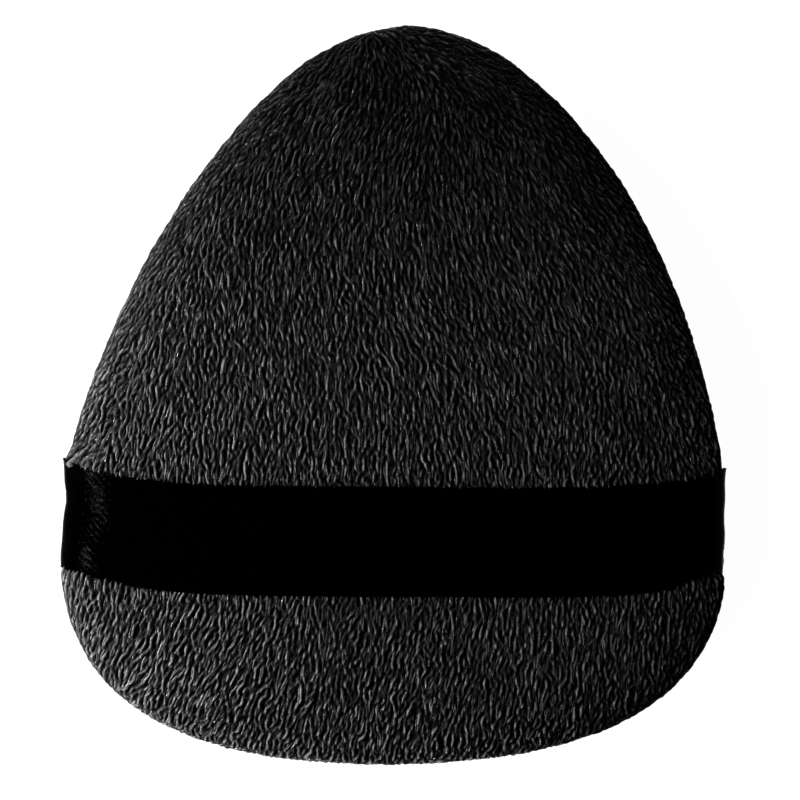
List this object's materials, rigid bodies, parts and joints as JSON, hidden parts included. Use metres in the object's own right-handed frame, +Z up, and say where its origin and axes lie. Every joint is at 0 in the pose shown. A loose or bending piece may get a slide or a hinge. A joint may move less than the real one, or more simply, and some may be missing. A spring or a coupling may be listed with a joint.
{
  "type": "powder puff",
  "caption": "Soft rounded-triangle velour powder puff with a foam core and a satin ribbon across its face for holding it with two fingers.",
  "frame": {"origin": "on the table under the middle of the puff, at the centre of its outline's bounding box", "axes": "+Y towards the pointed tip, +Z up out of the ribbon face, +X to the right seen from above with the tip away"},
  "size_m": [0.074, 0.0824, 0.0176],
  "materials": {
    "velour": "black short-pile velour, matte with a soft sheen at grazing light",
    "satin": "black woven satin ribbon, smooth with a dull lustre",
    "foam": "cream open-cell foam, matte",
    "thread": "black twisted sewing thread, matte"
  },
  "bodies": {
    "puff": {"ribbon_side_cover": "velour", "powder_side_cover": "velour", "foam_core": "foam", "tip_seam_thread": "thread", "left_base_seam_thread": "thread", "right_base_seam_thread": "thread", "closing_seam_thread": "thread", "left_ribbon_tack": "thread", "right_ribbon_tack": "thread"},
    "ribbon": {"finger_ribbon": "satin"}
  },
  "joints": [
    {"name": "ribbon_lift", "type": "slide", "parent": "puff", "child": "ribbon", "axis": [0, 0, 1], "range_m": [0, 0.006], "deforming": ["finger_ribbon"]}
  ]
}
